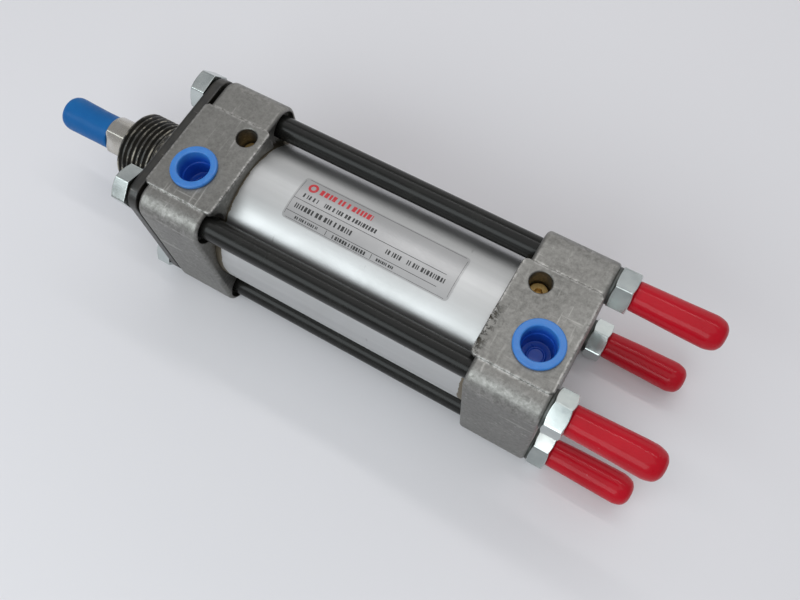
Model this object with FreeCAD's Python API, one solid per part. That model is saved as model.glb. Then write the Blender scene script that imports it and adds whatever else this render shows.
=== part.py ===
import FreeCAD, Part
import math
import os

# Tie-rod pneumatic cylinder. Millimetres.
# Origin on the cylinder axis at the front face of the retaining plate.
# +X runs along the axis out of the rod end, +Z runs up through the two ports.

# barrel and stroke
BORE_R = 22.225
BARREL_R = 25.4
STROKE = 50.0

# retaining plate
PLATE_T = 4.2
PLATE_HALF = 27.9
PLATE_CORNER_R = 6.6
PLATE_FRONT_EDGE = 1.5
PLATE_BACK_EDGE = 0.4

# heads: square blocks whose middle band stands proud of the four corner lobes
HEAD_HALF = 28.5
HEAD_CORNER_R = 6.9
LOBE_EDGE = 1.3
BAND_Y_LOW = -14.2
BAND_Y_HIGH = 20.3
BAND_TOP = 29.1
BAND_EDGE = 0.45
BAND_INNER_CORNER_R = 1.8
BAND_OUTER_CORNER_CUT = 1.2
FRONT_OUT = -PLATE_T
FRONT_IN = -30.3
FRONT_LOBE_OUT = -5.6
FRONT_LOBE_IN = -28.6
REAR_OUT = -147.6
REAR_IN = -121.4
REAR_LOBE_IN = -123.4
SOCKET_DEPTH = 2.4
SOCKET_R = 25.5
SPIGOT_R = 22.1
SPIGOT_REACH = 8.0
CARTRIDGE_SEAT_R = 15.0
CARTRIDGE_SEAT_DEPTH = 3.6

# tie rods, nuts and washers
TIE_PITCH = 43.2
TIE_R = 3.97
TIE_HOLE_R = 4.2
TIE_FRONT_X = 4.4
TIE_REAR_X = -180.3
TIE_CHAMFER = 0.8
RECESS_R = 5.7
RECESS_DEPTH = 2.4
NUT_FLATS = 12.7
NUT_HOLE_R = 3.99
NUT_CROWN_INSET = 0.15
NUT_CHAMFER_DEG = 30
NUT_CONE_MARGIN = 0.1
FRONT_NUT_T = 5.6
REAR_NUT_T = 6.2
FRONT_NUT_TURNS = (18.5, 54.0, 4.0, 57.0)
REAR_NUT_TURNS = (33.0, 5.0, 26.0, 9.0)
WASHER_T = 0.7
WASHER_R = 6.1
WASHER_HOLE_R = 4.1

# threaded nose
NOSE_LENGTH = 25.3
NECK_R = 13.75
NECK_LENGTH = 9.6
NECK_RELIEF_R = 13.3
NOSE_THREAD_R = 13.5
NOSE_CHAMFER = 0.5
NOSE_FLANGE_R = 16.9
NOSE_FLANGE_T = 4.8
NOSE_SPIGOT_R = 13.3
NOSE_SPIGOT_END = -12.4
NOSE_RING_GROOVE = (-11.8, -10.0)
NOSE_RING_GROOVE_R = 12.1
NOSE_RING_R = 0.6
NOSE_RING_STAND = 0.08
NOSE_FIT_GAP = 0.1
NOSE_END_GAP = 0.2
SEAT_GAP = 0.02
BEARING_SEAT_R = 9.0
BEARING_FRONT = 20.0
BEARING_REAR = -5.9
BEARING_END_GAP = 0.1
WIPER_SEAT_R = 10.5
ROD_SEAL_SEAT_R = 11.0
ROD_SEAL_END = -11.8
ROD_SEAL_GROOVE_HALF = 0.9
ROD_SEAL_GROOVE_DEPTH = 2.6
WIPER_LIP_OUT = 0.9
WIPER_FACE_INSET = 0.3
WIPER_LIP_BASE = 1.6
WIPER_LIP_EDGE = 0.7
WIPER_UNDERCUT = 0.9
WIPER_HEEL = 0.6

# piston rod
ROD_R = 7.0
ROD_SHOULDER_X = 37.2
ROD_COLLAR_R = 5.2
ROD_COLLAR_END = 40.2
ROD_THREAD_R = 5.0
ROD_TIP_X = 56.5
ROD_CHAMFER = 0.8
ROD_SHOULDER_CHAMFER = 0.5
FLAT_ACROSS = 11.1
FLAT_START = 30.5
FLAT_TURN = -60.0
PISTON_SPIGOT_R = 5.5
TAIL_THREAD_R = 5.0
TAIL_END = -124.0
TAIL_CHAMFER = 0.6
ROD_RUNNING_GAP = 0.05

# piston and what it carries
PISTON_END_GAP = 0.6
PISTON_FRONT = FRONT_IN - SPIGOT_REACH - STROKE - PISTON_END_GAP
PISTON_REAR = -112.9
PISTON_R = 21.9
PISTON_CHAMFER = 0.6
RING_R = 22.175
SEAL_GROOVE_R = 18.0
SEAL_GROOVES = ((-95.7, -91.5), (-110.5, -106.3))
WEAR_GROOVE = (-103.6, -98.2)
WEAR_GROOVE_R = 20.3
RING_SIDE_GAP = 0.1
RING_FLOOR_GAP = 0.05
LIP_SEAL_BASE_INSET = 0.5
LIP_SEAL_BASE_W = 1.6
LIP_SEAL_GROOVE_HALF = 0.8
LIP_SEAL_GROOVE_DEPTH = 2.0
WEAR_SPLIT_W = 0.8
WEAR_SPLIT_DEG = 35
ROD_RING_GROOVE = (-102.0, -99.8)
ROD_RING_GROOVE_R = 7.0
ROD_RING_R = 0.7
ROD_RING_GAP = 0.06
CUSHION_SLEEVE_R = 11.0
CUSHION_SLEEVE_FRONT = -72.9
SPEAR_R = 8.0
SPEAR_END = -126.9
SPEAR_END_GAP = 0.4
CUSHION_TAPER_LENGTH = 2.5
CUSHION_TAPER_DEPTH = 1.0

# cavities inside the heads
FRONT_CAVITY_R = 11.8
REAR_CAVITY_R = 8.8
REAR_CHAMBER_R = 12.0
REAR_CHAMBER_FRONT = -129.0
REAR_CHAMBER_END = -143.6
CUSHION_SEAL_W = 3.0
CUSHION_SEAL_INSET = 1.8
CUSHION_SEAL_EDGE = 0.5
CUSHION_GAP = 0.05
FRONT_SEAL_WALL = 2.0
REAR_SEAL_WALL = 2.5
FRONT_SEAL_BORE_R = CUSHION_SLEEVE_R + FRONT_SEAL_WALL + CUSHION_GAP
REAR_SEAL_BORE_R = SPEAR_R + REAR_SEAL_WALL + CUSHION_GAP

# ports and cushion screws, on the top of each head
PORT_Y = 8.75
PORT_R = 6.58
PORT_FLOOR = 17.3
PORT_DRILL_R = 3.3
PORT_MOUTH_EDGE = 0.5
FRONT_PORT_X = -16.0
REAR_PORT_X = -137.6
SCREW_Y = -8.8
SCREW_HOLE_R = 3.5
SCREW_HOLE_FLOOR = 13.6
SCREW_MOUTH_EDGE = 0.3
NEEDLE_HOLE_R = 1.5
NEEDLE_HOLE_FLOOR = 6.0
FRONT_SCREW_X = -24.15
REAR_SCREW_X = -129.4
SCREW_R = 3.42
SCREW_GROOVE = (15.2, 16.9)
SCREW_GROOVE_R = 2.12
SCREW_RING_R = 0.62
SCREW_RING_GAP = 0.09
SCREW_TOP = 21.6
SCREW_BOTTOM = 14.0
SCREW_SOCKET_FLATS = 2.6
SCREW_SOCKET_DEPTH = 1.8
SCREW_SOCKET_TURN = 15
SCREW_HEAD_EDGE = 0.5
NEEDLE_R = 1.2
NEEDLE_TIP = 9.0
NEEDLE_POINT_R = 0.3
NEEDLE_TAPER = 3.2
NEEDLE_CHANNEL_R = 1.2
NEEDLE_CHANNEL_Z = 12.6

# protective caps and plugs
PLUG_FLANGE_R = 7.75
PLUG_FLANGE_T = 1.2
PLUG_BODY_R = 6.5
PLUG_TIP_R = 6.3
PLUG_FOOT = 18.2
PLUG_MOUTH_R = 5.35
PLUG_STEP_R = 4.8
PLUG_STEP_Z = 24.6
PLUG_FLOOR_T = 1.2
PLUG_TIP_CHAMFER = 0.6
PLUG_SHANK = 1.2
PLUG_FLANGE_EDGE = 0.35
PLUG_MOUTH_EDGE = 0.3
PLUG_DRAFT = 0.15
PLUG_RING_OUTER_R = 2.9
PLUG_RING_INNER_R = 2.3
PLUG_RING_T = 0.5
ROD_CAP_MOUTH_R = 6.3
ROD_CAP_END_R = 6.5
ROD_CAP_END = 58.7
ROD_CAP_ROUND = 2.4
ROD_CAP_LIP_R = 5.22
ROD_CAP_INNER_R = 5.56
ROD_CAP_FLOOR = 57.3
STUD_CAP_MOUTH_R = 4.85
STUD_CAP_END_R = 5.4
STUD_CAP_LENGTH = 28.4
STUD_CAP_ROUND = 4.0
STUD_CAP_INNER_R = 4.02
STUD_CAP_WALL = 1.5
CAP_SEAT_GAP = 0.05
CAP_ROUND_STEPS = 8

# name label, a thin foil on top of the barrel
LABEL_FRONT = -47.5
LABEL_REAR = -107.5
LABEL_T = 0.12
LABEL_LOW_DEG = -18.6
LABEL_HIGH_DEG = 18.2
LABEL_WEDGE_REACH = 40.0

# round section rings
BARREL_RING_X = 5.0
BARREL_RING_GROOVE_R = 19.9
BARREL_RING_GROOVE_W = 2.8
BARREL_RING_R = 1.12
BARREL_RING_GAP = 0.04

# how far a cutting body passes beyond the face it opens
OVERCUT = 1.0

X_AXIS = FreeCAD.Vector(1, 0, 0)
Z_AXIS = FreeCAD.Vector(0, 0, 1)


def point(x, y, z):
    return FreeCAD.Vector(x, y, z)


def rod_x(radius, x1, x2, y=0.0, z=0.0):
    low = min(x1, x2)
    return Part.makeCylinder(radius, abs(x2 - x1), point(low, y, z), X_AXIS)


def ring_x(outer, inner, x1, x2):
    hole = rod_x(inner, min(x1, x2) - OVERCUT, max(x1, x2) + OVERCUT)
    return rod_x(outer, x1, x2).cut(hole)


def rod_z(radius, z1, z2, x=0.0, y=0.0):
    low = min(z1, z2)
    return Part.makeCylinder(radius, abs(z2 - z1), point(x, y, low), Z_AXIS)


def box(x1, x2, y1, y2, z1, z2):
    corner = point(min(x1, x2), min(y1, y2), min(z1, z2))
    return Part.makeBox(abs(x2 - x1), abs(y2 - y1), abs(z2 - z1), corner)


def ring_in_groove(outer_r, section_r, groove):
    """Round-section ring centred in a groove given as (x1, x2)."""
    middle = sum(groove) / 2
    return Part.makeTorus(outer_r - section_r, section_r, point(middle, 0, 0), X_AXIS)


def turned_x(profile):
    """Solid of revolution about the cylinder axis from (x, radius) corners."""
    corners = [point(x, 0, r) for x, r in profile]
    wire = Part.makePolygon(corners + corners[:1])
    return Part.Face(wire).revolve(point(0, 0, 0), X_AXIS, 360)


def turned_z(profile, x, y):
    """Solid of revolution about a vertical line at x, y from (radius, z) corners."""
    corners = [point(x + r, y, z) for r, z in profile]
    wire = Part.makePolygon(corners + corners[:1])
    return Part.Face(wire).revolve(point(x, y, 0), Z_AXIS, 360)


def rounded_square(half, corner_r, x1, x2, low_edge, high_edge):
    """Square block along X with round corners; the edges of its two ends are rounded too."""
    block = box(x1, x2, -half, half, -half, half)
    corners = [e for e in block.Edges if abs(e.tangentAt(e.FirstParameter).x) > 0.99]
    block = block.makeFillet(corner_r, corners)
    block = block.makeFillet(low_edge, end_edges(block, x1))
    return block.makeFillet(high_edge, end_edges(block, x2))


def end_edges(shape, x):
    return [e for e in shape.Edges
            if e.BoundBox.XLength < 1e-6 and abs(e.BoundBox.XMin - x) < 1e-6]


def tie_places():
    half = TIE_PITCH / 2
    return [(half, half), (-half, half), (-half, -half), (half, -half)]


def tie_holes(shape, x1, x2, radius):
    for y, z in tie_places():
        shape = shape.cut(rod_x(radius, x1, x2, y, z))
    return shape


def save(name, shape):
    shape.exportStep("parts/" + name + ".step")


def upright_edges(shape, x):
    return [e for e in shape.Edges if e.BoundBox.ZLength > HEAD_HALF
            and e.BoundBox.XLength < 1e-6 and abs(e.BoundBox.XMin - x) < 1e-6]


def head_band(outer_x, inner_x):
    """Middle band of a head, from its base up to the raised top face."""
    band = box(outer_x, inner_x, BAND_Y_LOW, BAND_Y_HIGH, -HEAD_HALF, BAND_TOP)
    band = band.makeFillet(BAND_INNER_CORNER_R, upright_edges(band, inner_x))
    band = band.makeChamfer(BAND_OUTER_CORNER_CUT, upright_edges(band, outer_x))
    top = [e for e in band.Edges if e.BoundBox.ZMin > BAND_TOP - 0.01]
    return band.makeFillet(BAND_EDGE, top)


def port_cut(x):
    """Plain port bore with a broken mouth edge and a drilling down to the head's cavity."""
    hole = rod_z(PORT_R, PORT_FLOOR, BAND_TOP + OVERCUT, x, PORT_Y)
    mouth = Part.makeCone(PORT_R, PORT_R + PORT_MOUTH_EDGE, PORT_MOUTH_EDGE,
                          point(x, PORT_Y, BAND_TOP - PORT_MOUTH_EDGE), Z_AXIS)
    drill = rod_z(PORT_DRILL_R, 0, PORT_FLOOR + OVERCUT, x, PORT_Y)
    return hole.fuse([mouth, drill])


def screw_cut(x, cushion_face):
    """Screw hole, the needle's narrow seat below it and the channel towards the barrel."""
    hole = rod_z(SCREW_HOLE_R, SCREW_HOLE_FLOOR, BAND_TOP + OVERCUT, x, SCREW_Y)
    mouth = Part.makeCone(SCREW_HOLE_R, SCREW_HOLE_R + SCREW_MOUTH_EDGE, SCREW_MOUTH_EDGE,
                          point(x, SCREW_Y, BAND_TOP - SCREW_MOUTH_EDGE), Z_AXIS)
    seat = rod_z(NEEDLE_HOLE_R, NEEDLE_HOLE_FLOOR, SCREW_HOLE_FLOOR + OVERCUT, x, SCREW_Y)
    channel = rod_x(NEEDLE_CHANNEL_R, x, cushion_face, SCREW_Y, NEEDLE_CHANNEL_Z)
    return hole.fuse([mouth, seat, channel])


def barrel_ring_groove(x):
    return ring_x(SPIGOT_R + OVERCUT, BARREL_RING_GROOVE_R,
                  x - BARREL_RING_GROOVE_W / 2, x + BARREL_RING_GROOVE_W / 2)


def front_head():
    block = rounded_square(HEAD_HALF, HEAD_CORNER_R, FRONT_LOBE_IN, FRONT_LOBE_OUT,
                           LOBE_EDGE, LOBE_EDGE)
    block = block.fuse(head_band(FRONT_OUT, FRONT_IN))
    block = block.cut(ring_x(SOCKET_R, SPIGOT_R, FRONT_IN - OVERCUT, FRONT_IN + SOCKET_DEPTH))
    block = block.cut(rod_x(CARTRIDGE_SEAT_R, FRONT_IN - OVERCUT, FRONT_IN + CARTRIDGE_SEAT_DEPTH))
    block = tie_holes(block, FRONT_IN - OVERCUT, 0, TIE_HOLE_R)
    block = tie_holes(block, FRONT_IN - OVERCUT, FRONT_LOBE_IN + RECESS_DEPTH, RECESS_R)
    block = block.cut(rod_x(NOSE_FLANGE_R + NOSE_FIT_GAP, FRONT_OUT - NOSE_FLANGE_T, 0))
    block = block.cut(rod_x(NOSE_SPIGOT_R + NOSE_FIT_GAP, NOSE_SPIGOT_END - NOSE_END_GAP, 0))
    block = block.cut(rod_x(FRONT_CAVITY_R, FRONT_IN - OVERCUT, 0))
    block = block.cut(port_cut(FRONT_PORT_X))
    return block.cut(screw_cut(FRONT_SCREW_X, FRONT_IN - OVERCUT)).removeSplitter()


def rear_head():
    block = rounded_square(HEAD_HALF, HEAD_CORNER_R, REAR_OUT, REAR_LOBE_IN, LOBE_EDGE, LOBE_EDGE)
    block = block.fuse(head_band(REAR_OUT, REAR_IN))
    block = block.cut(ring_x(SOCKET_R, SPIGOT_R, REAR_IN - SOCKET_DEPTH, REAR_IN + OVERCUT))
    block = block.cut(rod_x(CARTRIDGE_SEAT_R, REAR_IN - CARTRIDGE_SEAT_DEPTH, REAR_IN + OVERCUT))
    block = tie_holes(block, REAR_OUT - OVERCUT, REAR_IN + OVERCUT, TIE_HOLE_R)
    block = tie_holes(block, REAR_LOBE_IN - RECESS_DEPTH, REAR_IN + OVERCUT, RECESS_R)
    block = block.cut(rod_x(REAR_CAVITY_R, REAR_CHAMBER_FRONT, REAR_IN + OVERCUT))
    block = block.cut(rod_x(REAR_CHAMBER_R, REAR_CHAMBER_END, REAR_CHAMBER_FRONT))
    block = block.cut(port_cut(REAR_PORT_X))
    return block.cut(screw_cut(REAR_SCREW_X, REAR_IN + OVERCUT)).removeSplitter()


def cartridge(head_face, inward, cavity_r, seal_bore_r, needle_x):
    """Round insert seated in a head: its spigot enters the barrel and holds the cushion seal."""
    tip = head_face + inward * SPIGOT_REACH
    body = rod_x(SPIGOT_R, head_face, tip)
    body = body.fuse(rod_x(CARTRIDGE_SEAT_R - SEAT_GAP, head_face - inward * CARTRIDGE_SEAT_DEPTH,
                           head_face + inward * OVERCUT))
    body = body.cut(rod_x(cavity_r, head_face - inward * (CARTRIDGE_SEAT_DEPTH + OVERCUT),
                          tip + inward * OVERCUT))
    seal_mouth = tip - inward * CUSHION_SEAL_INSET
    body = body.cut(rod_x(seal_bore_r, seal_mouth - inward * CUSHION_SEAL_W, seal_mouth))
    body = body.cut(barrel_ring_groove(tip - inward * BARREL_RING_X))
    channel = rod_x(NEEDLE_CHANNEL_R, needle_x, tip + inward * OVERCUT, SCREW_Y, NEEDLE_CHANNEL_Z)
    return body.cut(channel)


def front_cartridge():
    return cartridge(FRONT_IN, -1, FRONT_CAVITY_R, FRONT_SEAL_BORE_R, FRONT_SCREW_X)


def rear_cartridge():
    return cartridge(REAR_IN, 1, REAR_CAVITY_R, REAR_SEAL_BORE_R, REAR_SCREW_X)


def barrel_tube():
    return ring_x(BARREL_R, BORE_R, REAR_IN - SOCKET_DEPTH, FRONT_IN + SOCKET_DEPTH)


def retainer_plate():
    plate = rounded_square(PLATE_HALF, PLATE_CORNER_R, -PLATE_T, 0,
                           PLATE_BACK_EDGE, PLATE_FRONT_EDGE)
    plate = plate.cut(rod_x(NECK_R + NOSE_FIT_GAP, -PLATE_T - OVERCUT, OVERCUT))
    return tie_holes(plate, -PLATE_T - OVERCUT, OVERCUT, TIE_HOLE_R)


def threaded_nose():
    flange_back = -PLATE_T - NOSE_FLANGE_T
    outer = [(NOSE_SPIGOT_END, 0), (NOSE_SPIGOT_END, NOSE_SPIGOT_R), (flange_back, NOSE_SPIGOT_R),
             (flange_back, NOSE_FLANGE_R), (-PLATE_T, NOSE_FLANGE_R), (-PLATE_T, NECK_RELIEF_R),
             (0, NECK_RELIEF_R), (0, NECK_R), (NECK_LENGTH, NECK_R), (NECK_LENGTH, NOSE_THREAD_R),
             (NOSE_LENGTH - NOSE_CHAMFER, NOSE_THREAD_R),
             (NOSE_LENGTH, NOSE_THREAD_R - NOSE_CHAMFER), (NOSE_LENGTH, 0)]
    nose = turned_x(outer)
    nose = nose.cut(rod_x(BEARING_SEAT_R, NOSE_SPIGOT_END - OVERCUT, NOSE_LENGTH + OVERCUT))
    nose = nose.cut(rod_x(WIPER_SEAT_R, BEARING_FRONT, NOSE_LENGTH + OVERCUT))
    nose = nose.cut(rod_x(ROD_SEAL_SEAT_R, NOSE_SPIGOT_END - OVERCUT, BEARING_REAR))
    return nose.cut(ring_x(NOSE_SPIGOT_R + OVERCUT, NOSE_RING_GROOVE_R, *NOSE_RING_GROOVE))


def nose_o_ring():
    return ring_in_groove(NOSE_SPIGOT_R + NOSE_RING_STAND, NOSE_RING_R, NOSE_RING_GROOVE)


def rod_bearing():
    inner = ROD_R + ROD_RUNNING_GAP
    return ring_x(BEARING_SEAT_R - SEAT_GAP, inner,
                  BEARING_REAR + BEARING_END_GAP, BEARING_FRONT - BEARING_END_GAP)


def rod_wiper():
    """Wiper ring with a raised scraping lip that stands out of the nose."""
    inner = ROD_R + ROD_RUNNING_GAP
    outer = WIPER_SEAT_R - SEAT_GAP
    face = NOSE_LENGTH - WIPER_FACE_INSET
    lip = NOSE_LENGTH + WIPER_LIP_OUT
    profile = [(BEARING_FRONT, inner + WIPER_UNDERCUT), (BEARING_FRONT, outer), (face, outer),
               (face, inner + WIPER_LIP_BASE), (lip, inner + WIPER_LIP_EDGE), (lip, inner),
               (face - WIPER_HEEL, inner)]
    return turned_x(profile)


def rod_seal():
    """Lip seal with a groove open to the pressure side."""
    inner = ROD_R + ROD_RUNNING_GAP
    outer = ROD_SEAL_SEAT_R - SEAT_GAP
    middle = (inner + outer) / 2
    back = BEARING_REAR - BEARING_END_GAP
    profile = [(back, inner), (back, outer), (ROD_SEAL_END, outer),
               (ROD_SEAL_END, middle + ROD_SEAL_GROOVE_HALF),
               (ROD_SEAL_END + ROD_SEAL_GROOVE_DEPTH, middle),
               (ROD_SEAL_END, middle - ROD_SEAL_GROOVE_HALF), (ROD_SEAL_END, inner)]
    return turned_x(profile)


def barrel_o_rings():
    places = [FRONT_IN - SPIGOT_REACH + BARREL_RING_X, REAR_IN + SPIGOT_REACH - BARREL_RING_X]
    centre_r = BORE_R - BARREL_RING_GAP - BARREL_RING_R
    return Part.makeCompound([Part.makeTorus(centre_r, BARREL_RING_R, point(x, 0, 0), X_AXIS)
                              for x in places])


def cushion_seal(inner, outer, x1, x2):
    """Cushion ring with chamfered mouths on both sides."""
    edge = CUSHION_SEAL_EDGE
    return turned_x([(x1, inner + edge), (x1 + edge, inner), (x2 - edge, inner),
                     (x2, inner + edge), (x2, outer), (x1, outer)])


def front_cushion_seal():
    x = FRONT_IN - SPIGOT_REACH + CUSHION_SEAL_INSET
    return cushion_seal(CUSHION_SLEEVE_R + CUSHION_GAP, CUSHION_SLEEVE_R + FRONT_SEAL_WALL,
                        x + CUSHION_GAP, x + CUSHION_SEAL_W - CUSHION_GAP)


def rear_cushion_seal():
    x = REAR_IN + SPIGOT_REACH - CUSHION_SEAL_INSET - CUSHION_SEAL_W
    return cushion_seal(SPEAR_R + CUSHION_GAP, SPEAR_R + REAR_SEAL_WALL,
                        x + CUSHION_GAP, x + CUSHION_SEAL_W - CUSHION_GAP)


def tie_rods():
    rods = []
    for y, z in tie_places():
        rod = rod_x(TIE_R, TIE_REAR_X, TIE_FRONT_X, y, z)
        ends = [e for e in rod.Edges if e.BoundBox.XLength < 1e-6]
        rods.append(rod.makeChamfer(TIE_CHAMFER, ends))
    return Part.makeCompound(rods)


def hexagon(flats, turn):
    """Closed ring of corner offsets of a hexagon, as (u, v) pairs."""
    radius = flats / math.sqrt(3)
    angles = [math.radians(turn + 60 * k) for k in range(7)]
    return [(radius * math.cos(angle), radius * math.sin(angle)) for angle in angles]


def nut(x1, x2, y, z, turn, both_ends):
    """Hexagon nut; its corners are chamfered on the outer end, or on both."""
    corner = NUT_FLATS / math.sqrt(3)
    crown = NUT_FLATS / 2 - NUT_CROWN_INSET
    beyond = corner + NUT_CONE_MARGIN
    length = abs(x2 - x1)
    slope = (corner - crown) * math.tan(math.radians(NUT_CHAMFER_DEG))
    low = slope if both_ends else 0.0
    inward = [(0, 0), (0, crown if both_ends else beyond), (low, beyond),
              (length - slope, beyond), (length, crown), (length, 0)]
    profile = []
    for u, r in inward:
        spot = (x1 + (u if x2 > x1 else -u), r)
        if spot not in profile:
            profile.append(spot)
    cone = turned_x(profile).translate(point(0, y, z))
    corners = [point(x1, y + u, z + v) for u, v in hexagon(NUT_FLATS, turn)]
    prism = Part.Face(Part.makePolygon(corners)).extrude(point(x2 - x1, 0, 0))
    body = prism.common(cone)
    return body.cut(rod_x(NUT_HOLE_R, min(x1, x2) - OVERCUT, max(x1, x2) + OVERCUT, y, z))


def front_nuts():
    nuts = [nut(0, FRONT_NUT_T, y, z, turn, False)
            for (y, z), turn in zip(tie_places(), FRONT_NUT_TURNS)]
    return Part.makeCompound(nuts)


def rear_nuts():
    x = REAR_OUT - WASHER_T
    nuts = [nut(x, x - REAR_NUT_T, y, z, turn, True)
            for (y, z), turn in zip(tie_places(), REAR_NUT_TURNS)]
    return Part.makeCompound(nuts)


def rear_washers():
    rings = []
    for y, z in tie_places():
        ring = rod_x(WASHER_R, REAR_OUT - WASHER_T, REAR_OUT, y, z)
        hole = rod_x(WASHER_HOLE_R, REAR_OUT - WASHER_T - OVERCUT, REAR_OUT + OVERCUT, y, z)
        rings.append(ring.cut(hole))
    return Part.makeCompound(rings)


def name_label():
    """Thin curved foil; its angles are measured from straight up towards +Y."""
    foil = ring_x(BARREL_R + LABEL_T, BARREL_R, LABEL_REAR, LABEL_FRONT)
    start = LABEL_REAR - OVERCUT
    corners = [point(start, 0, 0)]
    for degrees in (LABEL_LOW_DEG, LABEL_HIGH_DEG):
        angle = math.radians(degrees)
        corners.append(point(start, LABEL_WEDGE_REACH * math.sin(angle),
                             LABEL_WEDGE_REACH * math.cos(angle)))
    wedge = Part.Face(Part.makePolygon(corners + corners[:1]))
    return foil.common(wedge.extrude(point(LABEL_FRONT + OVERCUT - start, 0, 0)))


def piston_rod():
    """Rod with its threaded ends, the spigot for the piston and two spanner flats."""
    outer = [(TAIL_END, 0), (TAIL_END, TAIL_THREAD_R - TAIL_CHAMFER),
             (TAIL_END + TAIL_CHAMFER, TAIL_THREAD_R),
             (PISTON_REAR, TAIL_THREAD_R), (PISTON_REAR, PISTON_SPIGOT_R),
             (PISTON_FRONT, PISTON_SPIGOT_R), (PISTON_FRONT, ROD_R),
             (ROD_SHOULDER_X - ROD_SHOULDER_CHAMFER, ROD_R),
             (ROD_SHOULDER_X, ROD_R - ROD_SHOULDER_CHAMFER),
             (ROD_SHOULDER_X, ROD_COLLAR_R), (ROD_COLLAR_END, ROD_COLLAR_R),
             (ROD_COLLAR_END, ROD_THREAD_R), (ROD_TIP_X - ROD_CHAMFER, ROD_THREAD_R),
             (ROD_TIP_X, ROD_THREAD_R - ROD_CHAMFER), (ROD_TIP_X, 0)]
    rod = turned_x(outer)
    for side in (1, -1):
        cutter = box(FLAT_START, ROD_SHOULDER_X + OVERCUT, -2 * ROD_R, 2 * ROD_R,
                     side * FLAT_ACROSS / 2, side * 2 * ROD_R)
        cutter.rotate(point(0, 0, 0), X_AXIS, FLAT_TURN)
        rod = rod.cut(cutter)
    return rod


def piston():
    body = ring_x(PISTON_R, PISTON_SPIGOT_R + SEAT_GAP, PISTON_REAR, PISTON_FRONT)
    rims = [e for e in body.Edges
            if e.BoundBox.XLength < 1e-6 and e.BoundBox.ZLength > PISTON_R + PISTON_SPIGOT_R]
    body = body.makeChamfer(PISTON_CHAMFER, rims)
    for x1, x2 in SEAL_GROOVES:
        body = body.cut(ring_x(PISTON_R + OVERCUT, SEAL_GROOVE_R, x1, x2))
    body = body.cut(ring_x(PISTON_R + OVERCUT, WEAR_GROOVE_R, *WEAR_GROOVE))
    return body.cut(ring_x(ROD_RING_GROOVE_R, PISTON_SPIGOT_R - OVERCUT, *ROD_RING_GROOVE))


def piston_o_ring():
    return ring_in_groove(ROD_RING_GROOVE_R - ROD_RING_GAP, ROD_RING_R, ROD_RING_GROOVE)


def lip_seal(x1, x2, open_low):
    """Piston lip seal: its outer lip is parted from the base by a groove on the pressure side."""
    inner = SEAL_GROOVE_R + RING_FLOOR_GAP
    low = x1 + RING_SIDE_GAP
    high = x2 - RING_SIDE_GAP
    pressure, back = (low, high) if open_low else (high, low)
    step = 1 if open_low else -1
    middle = (inner + RING_R) / 2
    base_r = RING_R - LIP_SEAL_BASE_INSET
    profile = [(back, inner), (back, base_r), (back - LIP_SEAL_BASE_W * step, base_r),
               (pressure, RING_R), (pressure, middle + LIP_SEAL_GROOVE_HALF),
               (pressure + LIP_SEAL_GROOVE_DEPTH * step, middle),
               (pressure, middle - LIP_SEAL_GROOVE_HALF), (pressure, inner)]
    return turned_x(profile)


def piston_seals():
    return Part.makeCompound([lip_seal(*SEAL_GROOVES[0], False), lip_seal(*SEAL_GROOVES[1], True)])


def piston_wear_ring():
    """Guide band, split by a scarf cut."""
    low, high = WEAR_GROOVE
    width = high - low
    band = ring_x(RING_R, WEAR_GROOVE_R + RING_FLOOR_GAP, low + RING_SIDE_GAP,
                  high - RING_SIDE_GAP)
    slot = box(low - width, high + width, -WEAR_SPLIT_W / 2, WEAR_SPLIT_W / 2,
               WEAR_GROOVE_R - OVERCUT, RING_R + OVERCUT)
    slot.rotate(point((low + high) / 2, 0, 0), Z_AXIS, WEAR_SPLIT_DEG)
    return band.cut(slot)


def front_cushion_sleeve():
    tip = CUSHION_SLEEVE_FRONT
    inner = ROD_R + SEAT_GAP
    return turned_x([(PISTON_FRONT, inner), (PISTON_FRONT, CUSHION_SLEEVE_R),
                     (tip - CUSHION_TAPER_LENGTH, CUSHION_SLEEVE_R),
                     (tip, CUSHION_SLEEVE_R - CUSHION_TAPER_DEPTH), (tip, inner)])


def rear_cushion_nut():
    hole = TAIL_THREAD_R + SEAT_GAP
    hole_end = TAIL_END - SPEAR_END_GAP
    return turned_x([(PISTON_REAR, hole), (PISTON_REAR, SPEAR_R),
                     (SPEAR_END + CUSHION_TAPER_LENGTH, SPEAR_R),
                     (SPEAR_END, SPEAR_R - CUSHION_TAPER_DEPTH), (SPEAR_END, 0), (hole_end, 0),
                     (hole_end, hole)])


def cushion_screw(x):
    """Needle screw sunk in its hole, with a hexagon socket in its head."""
    groove_low, groove_high = SCREW_GROOVE
    profile = [(0, NEEDLE_TIP), (NEEDLE_POINT_R, NEEDLE_TIP),
               (NEEDLE_R, NEEDLE_TIP + NEEDLE_TAPER),
               (NEEDLE_R, SCREW_BOTTOM), (SCREW_R, SCREW_BOTTOM), (SCREW_R, groove_low),
               (SCREW_GROOVE_R, groove_low), (SCREW_GROOVE_R, groove_high), (SCREW_R, groove_high),
               (SCREW_R, SCREW_TOP - SCREW_HEAD_EDGE), (SCREW_R - SCREW_HEAD_EDGE, SCREW_TOP),
               (0, SCREW_TOP)]
    body = turned_z(profile, x, SCREW_Y)
    floor = SCREW_TOP - SCREW_SOCKET_DEPTH
    corners = [point(x + u, SCREW_Y + v, floor)
               for u, v in hexagon(SCREW_SOCKET_FLATS, SCREW_SOCKET_TURN)]
    socket = Part.Face(Part.makePolygon(corners)).extrude(point(0, 0, SCREW_SOCKET_DEPTH + OVERCUT))
    return body.cut(socket)


def screw_o_ring(x):
    middle = sum(SCREW_GROOVE) / 2
    centre_r = SCREW_HOLE_R - SCREW_RING_GAP - SCREW_RING_R
    return Part.makeTorus(centre_r, SCREW_RING_R, point(x, SCREW_Y, middle), Z_AXIS)


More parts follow.
